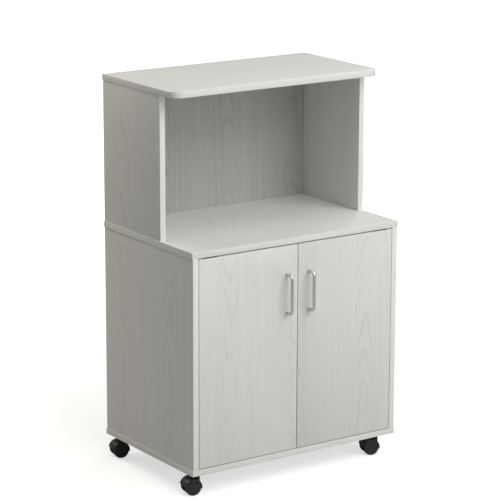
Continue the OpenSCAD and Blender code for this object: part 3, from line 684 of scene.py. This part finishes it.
class Finishes:
    """Every material of the cart, built once."""

    def __init__(self) -> None:
        """Builds the groups and the materials."""
        effects = Effects()
        front, side, flat = Grain.UPRIGHT_FRONT, Grain.UPRIGHT_SIDE, Grain.FLAT
        boards = [
            Melamine("ash_left_door", front, shift=(3.1, 0, 1.3), arch_centre=-0.195, arch_way=-1),
            Melamine("ash_right_door", front, shift=(5.7, 0, 2.2), arch_centre=0.197),
            Melamine("ash_left_side", side, shift=(1.7, 0, 0.4), arch_centre=-0.083),
            Melamine("ash_right_side", side, shift=(8.2, 0, 3.0), arch_centre=-0.05, arch_way=-1),
            # the back panels are the same ash melamine as the rest, made darker as painted shade for the
            # shade under the hutch top
            Melamine("ash_back_painted_shade", front, shift=(2.4, 0, 5.1), arch_centre=0.05,
                     light=(0.52, 0.52, 0.49), dark=(0.32, 0.32, 0.295), contrast=1.2),
            Melamine("ash_flat", flat, shift=(6.3, 0, 4.6), arch_centre=0.03, contrast=0.55, rough=0.38),
            Melamine("ash_band_upright", front, shift=(4.4, 0, 0.9), light=(0.86, 0.86, 0.835),
                     contrast=0.35),
            Melamine("ash_band_flat", flat, shift=(4.9, 0, 0.9), light=(0.80, 0.80, 0.77), contrast=0.40),
        ]
        mouldings = [
            Moulding("chipboard_core", (0.42, 0.32, 0.22), (0.62, 0.50, 0.36), 0.85, rough_play=0.05,
                     coarse=260, fine=900, bump=0.7, bump_depth=0.0004),
            Moulding("zinc_steel", (0.60, 0.61, 0.63), (0.52, 0.53, 0.55), 0.30, rough_play=0.10,
                     metallic=1.0, coarse=90, fine=1500, worn=(0.68, 0.69, 0.70)),
            Moulding("satin_nickel", (0.66, 0.66, 0.65), (0.60, 0.60, 0.59), 0.30, rough_play=0.06,
                     metallic=1.0, coarse=30, fine=700, bump=0.25, bump_depth=0.00004, stretch=(1, 1, 0.06)),
            Moulding("white_nylon", (0.80, 0.80, 0.77), (0.75, 0.75, 0.72), 0.45),
            Moulding("ferrite", (0.035, 0.035, 0.037), (0.055, 0.055, 0.058), 0.62, rough_play=0.1,
                     metallic=0.2, coarse=120, fine=1600, bump=0.6, bump_depth=0.0001),
            Moulding("black_steel", (0.022, 0.022, 0.023), (0.030, 0.030, 0.032), 0.40,
                     coarse=150, fine=900, bump=0.4, worn=(0.10, 0.10, 0.10)),
            Moulding("black_nylon", (0.007, 0.007, 0.008), (0.012, 0.012, 0.013), 0.46,
                     coarse=120, fine=1400, bump=0.3, bump_depth=0.00005, worn=(0.05, 0.05, 0.05)),
            Moulding("wheel_nylon", (0.011, 0.011, 0.012), (0.017, 0.017, 0.018), 0.36, rough_play=0.07,
                     coarse=110, fine=1300, bump=0.3, bump_depth=0.00005, worn=(0.06, 0.06, 0.06)),
            Moulding("wheel_tread", (0.012, 0.012, 0.012), (0.035, 0.034, 0.032), 0.60, rough_play=0.10,
                     coarse=160, fine=900, bump=0.6, bump_depth=0.0001),
            Moulding("cap_plastic", (0.745, 0.745, 0.715), (0.71, 0.71, 0.68), 0.40, rough_play=0.06,
                     coarse=120, fine=1400, bump=0.3),
            Moulding("beech_dowel", (0.58, 0.40, 0.22), (0.48, 0.32, 0.17), 0.6, rough_play=0.1,
                     coarse=60, fine=600, bump=0.5, bump_depth=0.0002, stretch=(1, 1, 0.1)),
        ]
        self.made = {finish.name: finish.build(effects) for finish in [*boards, *mouldings]}

    def give(self, obj: Piece, *names: str) -> None:
        """Puts finishes into an object's material slots, the first on every face.

        Args:
            obj: the object.
            names: the finishes' names, in the order of the slots.
        """
        obj.data.materials.clear()
        for name in names:
            obj.data.materials.append(self.made[name])


# ---- boards


@dataclass
class Board:
    """One board: its solid, the axis through its thickness, its finishes, its body and its slot."""

    node: str
    through: Axis
    face: str
    band: str
    body: str = "cabinet"
    slot: str = "ash_melamine"
    corner: float = 0.0  # radius of its front corners

    def __post_init__(self) -> None:
        """Reads its lowest and its highest corner."""
        self.low, self.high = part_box(self.node)

    def gaps(self, point: Vector) -> list[float]:
        """Measures along each axis from a point to the nearer side."""
        return [min(point[i] - self.low[i], self.high[i] - point[i]) for i in Axis]

    def corner_reach(self, point: Vector) -> float:
        """Measures from the middle of a front corner's curve to a point in the corner.

        Args:
            point: the point.

        Returns:
            The distance, or 0 for a point that is not in such a corner.
        """
        back = self.low.y + self.corner - point.y
        aside = abs(point.x) - (self.high.x - self.corner)
        return math.hypot(back, aside) if self.corner and back > 0 and aside > 0 else 0.0

    def on_rim(self, point: Vector, play: float) -> bool:
        """Says whether a point lies where sides meet or, within a play, on a corner's curve."""
        on_curve = self.corner_reach(point) > max(TOUCH, self.corner - play)
        return on_curve or sum(gap < TOUCH for gap in self.gaps(point)) >= 2


@dataclass
class BoardWork:
    """The melamine boards and panels, with rounded rims, edge bands and bare bores."""

    finishes: Finishes
    rim: float = 0.7 * MM
    rim_angle: float = 60
    top_corner: float = 32 * MM
    corner_play: float = 0.05 * MM

    def build(self) -> None:
        """Builds and dresses every board."""
        flat, upright = ("ash_flat", "ash_band_flat"), "ash_band_upright"
        boards = [Board(node, Axis.Z, *flat) for node in ("bottom_board", "platform", "shelf")]
        for name in ("{}_side_panel", "hutch_{}_side"):
            boards += [Board(name.format(side), Axis.X, f"ash_{side}_side", upright) for side in SIDES]
        for node in ("lower_back_panel", "hutch_back_panel"):
            # both back panels take the darker melamine, which is painted shade
            boards.append(Board(node, Axis.Y, "ash_back_painted_shade", "ash_back_painted_shade", slot="back_board"))
        for side in SIDES:
            boards.append(Board(f"{side}_door", Axis.Y, f"ash_{side}_door", upright, body=f"{side}_door"))
        boards.append(Board("hutch_top", Axis.Z, *flat, corner=self.top_corner))
        for board in boards:
            self.board(board)

    def board(self, board: Board) -> None:
        """Makes one board from its solid, with a rounded rim.

        Args:
            board: what it is.
        """
        obj = solid_copy(board.node, board.node + "_board")

        def on_rim(edge: bmesh.types.BMEdge) -> bool:
            """Says whether an edge lies on the board's rim."""
            return all(board.on_rim(vert.co, self.corner_play) for vert in edge.verts)

        width = min(self.rim, (board.high - board.low)[board.through] / 4)
        round_edges(obj, width, keep=on_rim, sharp_over=self.rim_angle)
        self.dress(obj, board)
        place_piece(obj, board.body, board.slot, board.node)

    def dress(self, obj: Piece, board: Board) -> None:
        """Gives the faces, the rim and the bores of a board their own finishes.

        Args:
            obj: the piece.
            board: what it is.
        """
        self.finishes.give(obj, board.face, board.band, "chipboard_core")
        for poly in obj.data.polygons:
            gaps = board.gaps(poly.center)
            level = abs(poly.normal[board.through]) > FACING
            beside = any(gaps[i] < 2 * self.rim for i in Axis if i != board.through)
            on_face = level and gaps[board.through] < TOUCH
            on_band = beside or not level and board.corner_reach(poly.center) > 0
            poly.material_index = 0 if on_face else 1 if on_band else 2
        shade(obj)


# ---- handles


@dataclass
class HandleWork:
    """The two bent bar handles."""

    finishes: Finishes
    pitch: float = 96 * MM
    width: float = 8 * MM
    thick: float = 7 * MM
    bend: float = 10 * MM
    reach: float = 26 * MM
    foot_edge: float = 0.4 * MM
    around: int = 38
    bend_steps: int = 14

    def build(self) -> None:
        """Builds both handles."""
        for side in SIDES:
            self.handle(side)

    def handle(self, side: str) -> None:
        """Bends one handle from an oval bar.

        Args:
            side: left or right.
        """
        low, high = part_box(f"{side}_handle")
        x, z = (low.x + high.x) / 2, (low.z + high.z) / 2
        face_y, top_z = high.y, z + self.pitch / 2
        leg = self.reach - self.thick / 2 - self.bend
        let_go()
        bpy.ops.mesh.primitive_circle_add(
            vertices=self.around, radius=self.thick / 2, fill_type="NOTHING",
            location=(x, face_y, top_z), rotation=(math.pi / 2, 0, 0),
        )
        obj = settle(bpy.context.object)
        obj.name = f"{side}_bar_handle"
        flat = (self.width - self.thick) / 2
        with editing(obj, "VERT"):
            for way in (-1, 1):
                pick(lambda v, way=way: (v.co.x - x) * way > TOUCH)
                bpy.ops.transform.translate(value=(way * flat, 0, 0))
            pick_all()
            extrude((0, -leg, 0))
            self.turn((x, face_y - leg, top_z - self.bend))
            extrude((0, 0, -(self.pitch - 2 * self.bend)))
            self.turn((x, face_y - leg, top_z - self.pitch + self.bend))
            extrude((0, leg, 0))
            pick_all()
            bpy.ops.mesh.fill_holes(sides=0)
            bpy.ops.mesh.normals_make_consistent(inside=False)
        round_edges(obj, self.foot_edge)
        shade(obj)
        self.finishes.give(obj, "satin_nickel")
        place_piece(obj, f"{side}_door", "satin_nickel", f"{side}_handle")

    def turn(self, centre: Point) -> None:
        """Spins what is selected through a quarter turn about a line along X."""
        bpy.ops.mesh.spin(steps=self.bend_steps, angle=-math.pi / 2, center=centre, axis=(1, 0, 0))


# ---- casters


@dataclass(frozen=True)
class CasterSpot:
    """Where one caster stands and how it is turned at rest, in degrees."""

    name: str
    x: float
    y: float
    turn: float
    inner_side: int

    def frame(self) -> Matrix:
        """Gives the caster's own frame: swivel axis at the origin, wheels towards -X."""
        return Matrix.Translation((self.x, self.y, 0)) @ Matrix.Rotation(math.radians(self.turn), 4, "Z")


@dataclass
class CasterWork:
    """The four hooded twin-wheel casters."""

    finishes: Finishes
    radius: float = 20 * MM
    wheel_w: float = 11.5 * MM
    caster_w: float = 37 * MM
    trail: float = 16 * MM
    bore_r: float = 2.56 * MM
    hub_r: float = 5.5 * MM
    rim_r: float = 17 * MM
    wall: float = 2.2 * MM
    shoulder: float = 2.5 * MM
    groove: float = 0.15 * MM
    groove_mouth: float = 0.35 * MM
    hood_edge: float = 0.35 * MM
    steps: int = 64
    # the outer face's ridge and dish: radius and depth, in millimetres
    face: tuple[tuple[float, float], ...] = (
        (17.1, 0), (16.9, 0.15), (16.8, 0.5), (16.2, 0.5), (16.1, 0.15), (15.9, 0), (15, 0.02), (12, 0.25),
        (8.6, 0.45), (8.2, 0.6), (8.0, 0.6), (7.8, 0.3), (7.2, 0.1), (4, 0), (0, 0),
    )
    spots: tuple[CasterSpot, ...] = (
        CasterSpot("front_left", -0.268, -0.153, -10, 1),
        CasterSpot("front_right", 0.268, -0.153, -16, 1),
        CasterSpot("back_left", -0.268, 0.179, -11, -1),
        CasterSpot("back_right", 0.268, 0.179, -13, -1),
    )

    def build(self) -> None:
        """Builds a wheel once, copies it to every caster, and dresses the housings."""
        wheel = self.wheel()
        for spot in self.spots:
            for label, side in (("inner", spot.inner_side), ("outer", -spot.inner_side)):
                node = f"{spot.name}_{label}_wheel"
                place = spot.frame() @ Matrix.Translation((-self.trail, 0, self.radius))
                if side < 0:
                    place = place @ Matrix.Rotation(math.pi, 4, "Z")
                obj = copy_to(wheel, place)
                obj.name = node + "_disc"
                place_piece(obj, node, "wheel_nylon", node)
            self.housing(spot)
        bpy.data.objects.remove(wheel)

    def wheel(self) -> Piece:
        """Turns one wheel about the Y axis, with its outer face towards +Y.

        Returns:
            The wheel, centred on the axle.
        """
        y0, y1 = self.caster_w / 2 - self.wheel_w, self.caster_w / 2
        mid, web = (y0 + y1) / 2, y1 - self.wall
        r, curve, floor = self.radius, self.shoulder, self.radius - self.groove
        arc = [(math.sin(a), math.cos(a)) for a in (math.radians(15 * k) for k in range(7))]
        profile = [(self.bore_r, y0), (self.hub_r, y0), (self.hub_r, web)]
        profile += [(self.rim_r, web), (self.rim_r, y0)]
        profile += [(r - curve + s * curve, y0 + curve - c * curve) for s, c in arc]
        profile += [(r, mid - self.groove_mouth), (floor, mid - self.groove)]
        profile += [(floor, mid + self.groove), (r, mid + self.groove_mouth)]
        profile += [(r - curve + s * curve, y1 - curve + c * curve) for s, c in reversed(arc)]
        profile += [(out * MM, y1 - deep * MM) for out, deep in self.face]
        profile += [(0, web), (self.bore_r, web), (self.bore_r, y0)]
        obj = lathe("caster_wheel", profile, self.steps)

        def on_ridge(face: bmesh.types.BMFace) -> bool:
            """Says whether a face lies on the ridge around the outer face."""
            return abs(Vector(face.calc_center_median().xz).length - self.rim_r) < 0.25 * MM

        with editing(obj):
            mark_worn(on_ridge)
        shade(obj, 35)
        self.finishes.give(obj, "wheel_nylon", "wheel_tread")
        for poly in obj.data.polygons:
            out = Vector((poly.center.x, 0, poly.center.z))
            if out.length > r - 0.4 * MM and poly.normal.dot(out.normalized()) > 0.9:
                poly.material_index = 1
        return obj

    def housing(self, spot: CasterSpot) -> None:
        """Dresses the hooded housing of one caster.

        Args:
            spot: the caster.
        """
        node = f"{spot.name}_housing"
        obj = solid_copy(node, f"{spot.name}_hood")
        round_edges(obj, self.hood_edge, sharp_over=50)
        shade(obj, 35)
        self.finishes.give(obj, "black_nylon")
        place_piece(obj, f"{spot.name}_caster", "black_nylon", node)


# ---- fittings


class Head(Enum):
    """Shapes of a screw's head."""

    SUNK = "sunk"
    PAN = "pan"


class Pointing(Enum):
    """Which way screws point along their axis: (in the cabinet's lower half, in its upper half)."""

    UP = (1, 1)
    TO_BOARD = (-1, 1)
    TO_DOOR = (1, -1)
    TO_FRONT = (-1, -1)

    def way(self, z: float) -> int:
        """Gives 1 or -1, the way along the axis, for a screw at a height."""
        return self.value[z > 300 * MM]


@dataclass(frozen=True)
class ScrewSet:
    """The alike screws of one node: their head, their sizes in millimetres and where they point."""

    node: str
    body: str
    head: Head
    head_d: float
    head_h: float
    shank_d: float
    axis: Axis
    points: Pointing
    slot: str = "zinc_steel"


@dataclass
class ScrewWork:
    """Every screw, with its thread and the cross recess in its head."""

    finishes: Finishes
    thread_pitch: float = 1.3 * MM
    neck: float = 1.5 * MM
    thread_end: float = 2.4 * MM
    tip: float = 1.6 * MM
    # shares of the shank's radius, of the pitch, and of the head's width
    root: float = 0.72
    crest: float = 0.99
    ridge: Point = (0.35, 0.5, 0.65)
    recess: Point = (0.30, 0.07, 0.24)
    recess_taper: float = 0.45
    steps: int = 20

    def build(self) -> None:
        """Builds each set of screws."""
        sets = [
            ScrewSet("cabinet_hinge_screws", "cabinet", Head.SUNK, 5.8, 1.4, 3.0, Axis.Z, Pointing.TO_BOARD),
            ScrewSet("catch_screws", "cabinet", Head.PAN, 5.6, 2.0, 3.0, Axis.Z, Pointing.UP),
            ScrewSet("caster_screws", "cabinet", Head.PAN, 6.8, 2.2, 3.5, Axis.Z, Pointing.UP, "black_steel"),
        ]
        for side in SIDES:
            door = f"{side}_door"
            sets += [
                ScrewSet(f"{door}_hinge_screws", door, Head.SUNK, 5.8, 1.4, 3.0, Axis.Z, Pointing.TO_DOOR),
                ScrewSet(f"{side}_handle_screws", door, Head.PAN, 7.6, 2.2, 4.0, Axis.Y, Pointing.TO_FRONT),
                ScrewSet(f"{side}_strike_screw", door, Head.SUNK, 5.4, 1.2, 3.0, Axis.Y, Pointing.TO_FRONT),
            ]
        for kind in sets:
            self.screws(kind)

    def screws(self, kind: ScrewSet) -> None:
        """Makes one screw of a kind and copies it to every place.

        Args:
            kind: the set of screws.
        """
        boxes = islands(kind.node)
        low, high = boxes[0]
        screw = self.screw(kind, (high - low)[kind.axis])
        places = []
        for low, high in boxes:
            at = (low + high) / 2
            way = kind.points.way(at.z)
            at[kind.axis] = low[kind.axis] if way > 0 else high[kind.axis]
            towards = Vector([way if i == kind.axis else 0 for i in Axis])
            turn = Vector((0, 1, 0)).rotation_difference(towards).to_matrix().to_4x4()
            places.append(Matrix.Translation(at) @ turn)
        obj = repeat(kind.node + "_threaded", screw, places)
        self.finishes.give(obj, kind.slot)
        place_piece(obj, kind.body, kind.slot, kind.node)

    def screw(self, kind: ScrewSet, length: float) -> Piece:
        """Turns one screw, with its head at the origin and its point towards +Y.

        Args:
            kind: the set that it belongs to.
            length: its whole length.

        Returns:
            The screw.
        """
        r, h, shank = kind.head_d / 2 * MM, kind.head_h * MM, kind.shank_d / 2 * MM
        if kind.head is Head.SUNK:
            profile = [(0, 0), (r - 0.2 * MM, 0), (r - 0.05 * MM, 0.08 * MM), (shank, h)]
        else:
            profile = [(0, 0), (0.60 * r, 0.03 * h), (0.80 * r, 0.16 * h), (0.94 * r, 0.34 * h)]
            profile += [(0.99 * r, 0.5 * h), (0.99 * r, h - 0.1 * MM), (0.96 * r, h), (shank, h)]
        y = h + self.neck
        profile.append((shank * 0.9, y))
        while y < length - self.thread_end:
            for wide, step in zip((self.root, self.crest, self.root), self.ridge):
                profile.append((shank * wide, y + step * self.thread_pitch))
            y += self.thread_pitch
        profile += [(shank * 0.7, length - self.tip), (0, length)]
        obj = lathe("screw", profile, self.steps)
        for crosswise in (False, True):
            self.cut_slot(obj, kind, crosswise)
        shade(obj, 40)
        return obj

    def cut_slot(self, obj: Piece, kind: ScrewSet, crosswise: bool) -> None:
        """Cuts one slot of the cross recess, which narrows downwards.

        Args:
            obj: the screw.
            kind: the set that it belongs to.
            crosswise: whether the slot runs along X instead of Z.
        """
        half, thick, deep = (share * kind.head_d * MM for share in self.recess)
        x, z = (half, thick) if crosswise else (thick, half)
        let_go()
        bpy.ops.mesh.primitive_cube_add(
            size=1, location=(0, (deep - MM) / 2, 0), scale=(2 * x, deep + MM, 2 * z)
        )
        wing = settle(bpy.context.object)
        with editing(wing, "VERT"):
            pick(lambda v: v.co.y > 0)
            scale = (self.recess_taper, 1, self.recess_taper)
            bpy.ops.transform.resize(value=scale, center_override=(0, deep, 0))
        change = obj.modifiers.new("slot", "BOOLEAN")
        change.operation = "DIFFERENCE"
        change.solver = "EXACT"
        change.object = wing
        hold(obj)
        bpy.ops.object.modifier_apply(modifier=change.name)
        bpy.data.objects.remove(wing)


@dataclass
class FittingWork:
    """Hinge leaves, catches, cams, pins and plates."""

    finishes: Finishes
    edge: float = 0.15 * MM
    cap_r: float = 8.75 * MM
    cap_h: float = 0.55 * MM
    # shares of the cap's radius and height
    cap_curve: tuple[tuple[float, float], ...] = (
        (0, 1), (0.45, 0.97), (0.75, 0.86), (0.92, 0.62), (1, 0.2), (1, 0), (0, 0)
    )
    cam_ys: tuple[float, float] = (-5 * MM, 165 * MM)
    cam_zs: tuple[float, float] = (628 * MM, 931 * MM)
    panel_x: float = 285 * MM

    def build(self) -> None:
        """Builds every small fitting."""
        zinc, nylon, black = "zinc_steel", "white_nylon", "black_steel"
        on_cabinet = {
            "cabinet_hinge_leaves": zinc,
            "catch_housings": nylon,
            "catch_pole_plates": zinc,
            "catch_magnets": "ferrite",
            "caster_plates": black,
            "caster_kingpins": black,
            "shelf_pins": zinc,
            "hinge_washers": nylon,
            "hinge_pivot_pins": zinc,
            "cam_locks": zinc,
        }
        for node, finish in on_cabinet.items():
            self.fitting(node, "cabinet", finish)
        for side in SIDES:
            self.fitting(f"{side}_door_hinge_leaves", f"{side}_door", zinc)
            self.fitting(f"{side}_strike_plate", f"{side}_door", zinc)
        hidden = {"cam_bolts": zinc, "dowels": "beech_dowel"}
        hidden |= {f"{end}_{side}_axle": zinc for end in ("front", "back") for side in SIDES}
        for node, finish in hidden.items():
            self.finishes.give(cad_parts[node], finish)
        self.cover_caps()

    def fitting(self, node: str, body: str, finish: str) -> None:
        """Makes a small piece from its solid with a fine edge.

        Args:
            node: the solid's name.
            body: the body it rides on.
            finish: the finish, which is also the slot.
        """
        obj = solid_copy(node, node + "_fitting")
        round_edges(obj, self.edge, 1)
        shade(obj)
        self.finishes.give(obj, finish)
        place_piece(obj, body, finish, node)

    def cover_caps(self) -> None:
        """Presses a thin domed cap over each cam lock inside the hutch."""
        profile = [(out * self.cap_r, up * self.cap_h) for out, up in self.cap_curve]
        cap = lathe("cover_cap", profile, 40)
        shade(cap, 50)
        places = [
            Matrix.Translation((side * self.panel_x, y, z)) @ Matrix.Rotation(side * math.pi / 2, 4, "Z")
            for side in (-1, 1) for y in self.cam_ys for z in self.cam_zs
        ]
        caps = repeat("hutch_cover_caps", cap, places)
        self.finishes.give(caps, "cap_plastic")
        place_piece(caps, "cabinet", "white_nylon")


# ---- stage


def direction(azimuth: float, elevation: float) -> Vector:
    """Gives the way to an azimuth, from the front towards the right, and an elevation, in degrees."""
    a, e = math.radians(azimuth), math.radians(elevation)
    return Vector((math.sin(a) * math.cos(e), -math.cos(a) * math.cos(e), math.sin(e)))


@dataclass(frozen=True)
class SoftLight:
    """A large square light that faces the cart: its direction, distance, width in metres and watts."""

    name: str
    azimuth: float
    elevation: float
    far: float
    wide: float
    power: float
    colour: Colour
    aim: Point = (0, 0, 0.5)

    def hang(self) -> None:
        """Adds the light to the scene."""
        aim = Vector(self.aim)
        place = aim + self.far * direction(self.azimuth, self.elevation)
        data = bpy.data.lights.new(self.name, "AREA")
        data.size = self.wide
        data.energy = self.power
        data.color = self.colour
        light = bpy.data.objects.new(self.name, data)
        light.location = place
        light.rotation_euler = (aim - place).to_track_quat("-Z", "Y").to_euler()
        bpy.context.scene.collection.objects.link(light)


@dataclass(frozen=True)
class Stage:
    """The floor, the light and the camera."""

    camera_at: Point = (-3.1311, -4.5652, 1.9034)
    azimuth: float = -34.343
    elevation: float = 13.907
    roll: float = 0.18
    focal_px: float = 2313.26
    image_px: float = 500.0
    sensor: float = 36
    fill: float = 0.02
    gloss_fill: float = 0.25
    white: float = 1.05
    floor_size: float = 40
    floor_glow: float = 0.62
    far_glow: float = 1.2
    lights: tuple[SoftLight, ...] = (
        SoftLight("high_light", 8, 58, far=4.0, wide=4.0, power=116, colour=(1.0, 0.99, 0.97)),
        SoftLight("front_light", 16, 28, far=4.0, wide=3.6, power=70, colour=(0.98, 1.0, 1.0)),
        SoftLight("rear_left_light", -148, 33, far=2.1, wide=1.2, power=18, colour=(1.0, 0.95, 0.86)),
        SoftLight("rear_right_light", 120, 45, far=3.0, wide=1.6, power=17, colour=(0.97, 1.0, 1.0)),
    )

    def build(self) -> None:
        """Builds all of it."""
        self.floor()
        self.world()
        for light in self.lights:
            light.hang()
        self.camera()

    def floor(self) -> None:
        """Lays a plain pale floor that the camera sees as white away from the cart."""
        let_go()
        bpy.ops.mesh.primitive_plane_add(size=self.floor_size, location=(0, 0, 0))
        floor = bpy.context.object
        floor.name = "floor"
        material, t, shader = new_material("pale_floor")
        coords = t.add("TexCoord").outputs["Object"]
        pale = t.mix(t.noise(coords, 1.2, detail=1.0), (0.60, 0.60, 0.59), (0.62, 0.62, 0.61))
        t.feed(shader, {"Base Color": pale, "Roughness": 0.95, "Specular IOR Level": 0.1})
        away = t.add("VectorMath", {0: coords}, operation="LENGTH").outputs["Value"]
        glow = t.span(away, 0.5, 3.0, self.floor_glow, self.far_glow)
        seen = t.times(t.add("LightPath").outputs["Is Camera Ray"], glow)
        light = t.add("Emission", {0: (1, 1, 1, 1), 1: seen})
        both = t.add("AddShader", {0: shader.outputs[0], 1: light.outputs[0]}).outputs[0]
        t.feed(material.node_tree.nodes["Material Output"], {"Surface": both})
        floor.data.materials.append(material)

    def world(self) -> None:
        """Fills the room with a little even light, brighter in reflections and white to the camera."""
        world = bpy.data.worlds.new("studio")
        world.use_nodes = True
        t = Tree(world.node_tree)
        path = t.add("LightPath").outputs
        filled = {0: path["Is Glossy Ray"], 1: self.gloss_fill, 2: self.fill}
        reflected = t.add("Math", filled, operation="MULTIPLY_ADD").outputs[0]
        light = t.math("MAXIMUM", reflected, t.times(path["Is Camera Ray"], self.white))
        t.feed(world.node_tree.nodes["Background"], {0: (1, 1, 1, 1), 1: light})
        bpy.context.scene.world = world

    def camera(self) -> None:
        """Sets the camera that was solved from the photograph."""
        back = direction(self.azimuth, self.elevation)
        right = (-back).cross(Vector((0, 0, 1))).normalized()
        up = right.cross(-back)
        c, s = math.cos(math.radians(self.roll)), math.sin(math.radians(self.roll))
        right, up = c * right + s * up, c * up - s * right
        data = bpy.data.cameras.new("camera")
        data.sensor_width = self.sensor
        data.lens = self.focal_px / self.image_px * data.sensor_width
        data.clip_start, data.clip_end = 0.1, 100
        camera = bpy.data.objects.new("camera", data)
        facing = Matrix((right, up, back)).transposed().to_4x4()
        camera.matrix_world = Matrix.Translation(self.camera_at) @ facing
        bpy.context.scene.collection.objects.link(camera)
        bpy.context.scene.camera = camera
        bpy.context.scene.view_settings.view_transform = "Standard"


def main() -> None:
    """Builds the cart's pieces in order, then the stage."""
    logging.basicConfig(level=logging.INFO, format="%(name)s: %(message)s")
    finishes = Finishes()
    for work in (BoardWork, HandleWork, CasterWork, ScrewWork, FittingWork):
        work(finishes).build()
    Stage().build()


if __name__ == "__main__":
    main()
